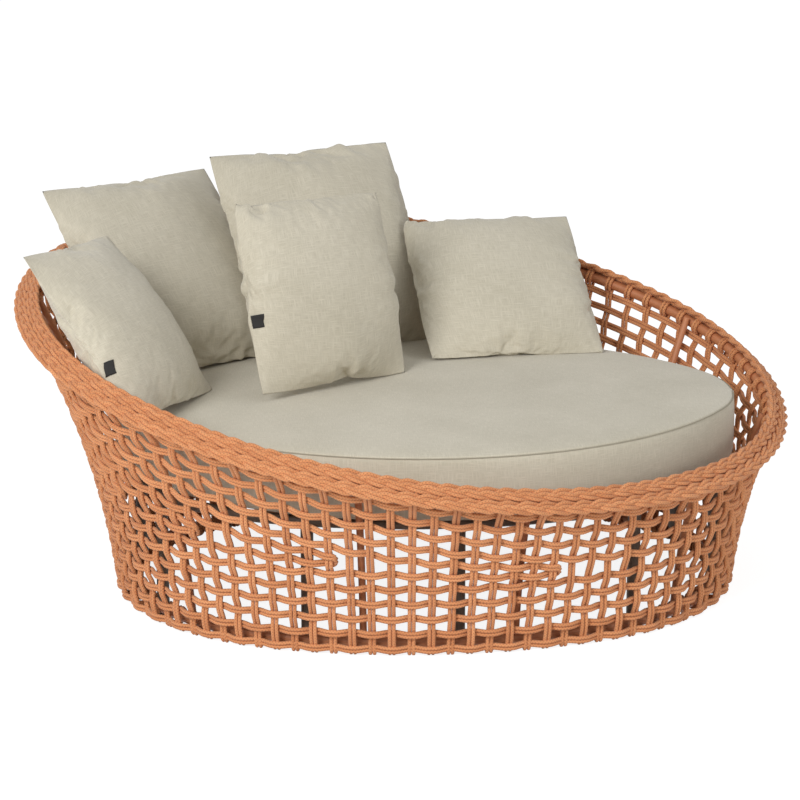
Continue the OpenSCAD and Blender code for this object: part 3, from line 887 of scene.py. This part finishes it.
def tab(name, body, cover, stand, edge, where):
    """A bare folded ribbon that lies on the cover near its left seam. where is its middle and its turn."""
    surface = BVHTree.FromObject(cover, bpy.context.evaluated_depsgraph_get())
    x, y, turn = where
    bpy.ops.mesh.primitive_grid_add(x_subdivisions=TAB_CELLS[0], y_subdivisions=TAB_CELLS[1], size=1)
    piece = bpy.context.object
    piece.name = piece.data.name = name + "_ribbon"
    inward = stand.to_3x3() @ Vector((0, 0, -1))
    points = []
    for p in coordinates(piece):
        flat = Matrix.Rotation(turn, 3, "Z") @ Vector((p[0] * TAB[0], p[1] * TAB[1], 0))
        flat += Vector((x * edge / 2, y * edge / 2, 0))
        hit, normal, _, _ = surface.ray_cast(stand @ (flat + Vector((0, 0, RAY_START))), inward)
        if hit is None:
            hit, normal, _, _ = surface.find_nearest(stand @ (flat + Vector((0, 0, PAST_SEAM))))
        points.append(tuple(hit + normal * TAB_LIFT))
    set_coordinates(piece, points)
    scale_uv(piece, *TAB[:2])
    select_only(piece)
    thick = piece.modifiers.new("thick", "SOLIDIFY")
    thick.thickness, thick.offset = TAB[2], 1.0
    bpy.ops.object.modifier_apply(modifier=thick.name)
    finish_mesh(piece, tab_ribbon, False)
    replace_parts(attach(piece, body), name)


def mattress_rings():
    """The cover's profile from the middle of its underside to the middle of its top, and where its side runs.

    A ring is a height over the underside, how far outside the outline it is, and a share of the outline.
    """
    high, edge = MATTRESS_SIDE, MATTRESS_ROUND
    under = [(0, -edge, share) for share in (0.3, 0.6, 0.85)]
    lower_edge = [(0, -edge, 1), (0.002, -0.006, 1), (0.005, -0.002, 1), (edge, 0.0, 1)]
    side = [(z, 0.002 * math.sin(math.pi * z / high), 1) for z in np.linspace(0.02, high - edge, 8)]
    upper_edge = [(high - 0.006, -0.0005, 1), (high - 0.002, -0.0015, 1), (high, -0.0042, 1)]
    seam = [(high + 0.0015, -0.0030, 0.9985), (high + 0.004, -0.0030, 0.994)]
    top = [(high + MATTRESS_CROWN * math.sqrt(1 - share**6), -0.002, share)
           for share in (0.985, 0.97, 0.95, 0.92, 0.88, 0.82, 0.74, 0.64, 0.5, 0.34, 0.17)]
    sides = lower_edge + side + upper_edge
    return under + sides + seam + top, len(under), len(under) + len(sides) - 1


def mattress():
    """A round cover with a boxed side, sewn seams at its two edges and a top that swells a little."""
    shape = MATTRESS_OUTLINE
    rings, side_first, side_last = mattress_rings()
    middle_x, middle_y = MATTRESS_MIDDLE
    points = []
    for z, out, share in rings:
        for i in range(MATTRESS_SIDES):
            p = outline_point(shape, out, 2 * math.pi * i / MATTRESS_SIDES)
            points.append((middle_x + share * p.x, middle_y + share * p.y, MATTRESS_Z + z))
    count = len(points)
    points += [(middle_x, middle_y, MATTRESS_Z), (middle_x, middle_y, MATTRESS_TOP + MATTRESS_CROWN)]
    faces = []
    for k in range(len(rings) - 1):
        for i in range(MATTRESS_SIDES):
            a, b = k * MATTRESS_SIDES + i, k * MATTRESS_SIDES + (i + 1) % MATTRESS_SIDES
            faces.append((a, b, b + MATTRESS_SIDES, a + MATTRESS_SIDES))
    last = (len(rings) - 1) * MATTRESS_SIDES
    for i in range(MATTRESS_SIDES):
        faces.append((count, (i + 1) % MATTRESS_SIDES, i))
        faces.append((count + 1, last + i, last + (i + 1) % MATTRESS_SIDES))
    mesh = bpy.data.meshes.new("mattress_cover")
    mesh.from_pydata(points, [], faces)
    piece = bpy.data.objects.new("mattress_cover", mesh)
    bpy.context.scene.collection.objects.link(piece)
    layer = mesh.uv_layers.new(name="UVMap")
    around = girth(shape) / MATTRESS_SIDES
    for polygon in mesh.polygons:
        ring = polygon.index // MATTRESS_SIDES
        for loop in polygon.loop_indices:
            index = mesh.loops[loop].vertex_index
            p = points[index]
            if side_first <= ring < side_last:
                first = polygon.index % MATTRESS_SIDES
                step = first + (index % MATTRESS_SIDES != first)
                layer.data[loop].uv = (step * around, p[2])
            else:
                layer.data[loop].uv = (p[0], p[1])
    finish_mesh(piece, mattress_linen)
    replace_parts(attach(piece, "mattress"), "mattress")
    seam = RopeMesh(6, SEAM_R)
    turns = np.linspace(0, 2 * math.pi, 2 * MATTRESS_SIDES, endpoint=False)
    line = [outline_point(shape, SEAM_OUT, turn) for turn in turns]
    line = [(middle_x + p.x, middle_y + p.y, MATTRESS_TOP + SEAM_UP) for p in line]
    seam.add(line, np.tile((0, 0, 1), (len(line), 1)), True)
    seam.piece("mattress_seam", seam_thread, "mattress")


# The object
weave_base_rows()
weave_rim_rows()
weave_short_rows()
stand_stakes()
plait("rim_braid_inner", INNER_BRAID)
plait("rim_braid_outer", OUTER_BRAID)
mattress()
covers = {name: cushion(name, *facts) for name, facts in CUSHIONS.items()}
tab("label_left", "cushion_small_left", *covers["cushion_small_left"], SMALL[0], TAB_LEFT)
tab("label_middle", "cushion_small_middle", *covers["cushion_small_middle"], SMALL[0], TAB_MIDDLE)
for name, node in frame["nodes"].items():
    if not node.hide_render:
        node.data.materials.clear()
        brown = name.startswith(("base_ring", "rim_ring", "upright"))
        node.data.materials.append(brown_coat if brown else deck_coat)


# Floor, light and camera
FLOOR_SIZE = 60
# The floor's own shade where light falls on it and where the camera sees it, and its glow to the camera
FLOOR_LIT = (0.85, 0.85, 0.85, 1)
FLOOR_SEEN = (0.30, 0.30, 0.30, 1)
FLOOR_GLOW = 0.88
WORLD_LIGHT = 0.52
# Each lamp's place, what it points at, its width in metres and its watts
KEY_LAMP = ((-2.6, -3.9, 2.9), (0, 0, 0.4), 2.0, 155)
FILL_LAMP = ((3.4, -3.0, 1.5), (0, 0, 0.3), 2.0, 32)
# The photograph's view: turned a little to the left of the front, and looking down
AZIMUTH = math.radians(-5.19)
ELEVATION = math.radians(14.47)
TARGET = Vector((-0.0206, -0.0817, 0.4376))
DISTANCE = 6.2575
SENSOR = 36.0
LENS = 121.75


def floor():
    """A pale floor that takes shadows softly and looks white to the camera."""
    bpy.ops.mesh.primitive_plane_add(size=FLOOR_SIZE)
    plane = bpy.context.object
    plane.name = "floor"
    n = Nodes("pale_floor")
    rays = n.add("LightPath")
    seen = n.math("MAXIMUM", rays.outputs["Is Camera Ray"], rays.outputs["Is Glossy Ray"])
    n.finish(n.mix(seen, FLOOR_LIT, FLOOR_SEEN), 0.9, Specular_IOR_Level=0.0)
    n.put(n.shader.inputs["Emission Color"], (1, 1, 1, 1))
    n.put(n.shader.inputs["Emission Strength"], n.math("MULTIPLY", seen, FLOOR_GLOW))
    plane.data.materials.append(n.material)


def world(strength):
    """A white surround that lights the piece with this strength and looks fully white to the camera."""
    made = bpy.data.worlds.new("studio")
    bpy.context.scene.world = made
    made.use_nodes = True
    tree = made.node_tree
    background = tree.nodes["Background"]
    background.inputs["Color"].default_value = (1, 1, 1, 1)
    rays = tree.nodes.new("ShaderNodeLightPath")
    seen = tree.nodes.new("ShaderNodeMath")
    seen.operation = "MAXIMUM"
    tree.links.new(rays.outputs["Is Camera Ray"], seen.inputs[0])
    tree.links.new(rays.outputs["Is Glossy Ray"], seen.inputs[1])
    level = tree.nodes.new("ShaderNodeMapRange")
    level.inputs["To Min"].default_value = strength
    level.inputs["To Max"].default_value = 1.0
    tree.links.new(seen.outputs[0], level.inputs["Value"])
    tree.links.new(level.outputs["Result"], background.inputs["Strength"])


def lamp(name, place, target, size, power):
    light = bpy.data.lights.new(name, "AREA")
    light.shape, light.size, light.energy = "DISK", size, power
    made = bpy.data.objects.new(name, light)
    bpy.context.scene.collection.objects.link(made)
    made.location = place
    made.rotation_euler = (Vector(target) - Vector(place)).to_track_quat("-Z", "Y").to_euler()


def camera():
    level = math.cos(ELEVATION)
    back = Vector((math.sin(AZIMUTH) * level, -math.cos(AZIMUTH) * level, math.sin(ELEVATION)))
    made = bpy.data.objects.new("camera", bpy.data.cameras.new("camera"))
    bpy.context.scene.collection.objects.link(made)
    made.data.sensor_width, made.data.lens = SENSOR, LENS
    made.location = TARGET + DISTANCE * back
    made.rotation_euler = (-back).to_track_quat("-Z", "Y").to_euler()
    bpy.context.scene.camera = made


floor()
world(WORLD_LIGHT)
lamp("key", *KEY_LAMP)
lamp("fill", *FILL_LAMP)
camera()
bpy.context.scene.view_settings.view_transform = "Standard"
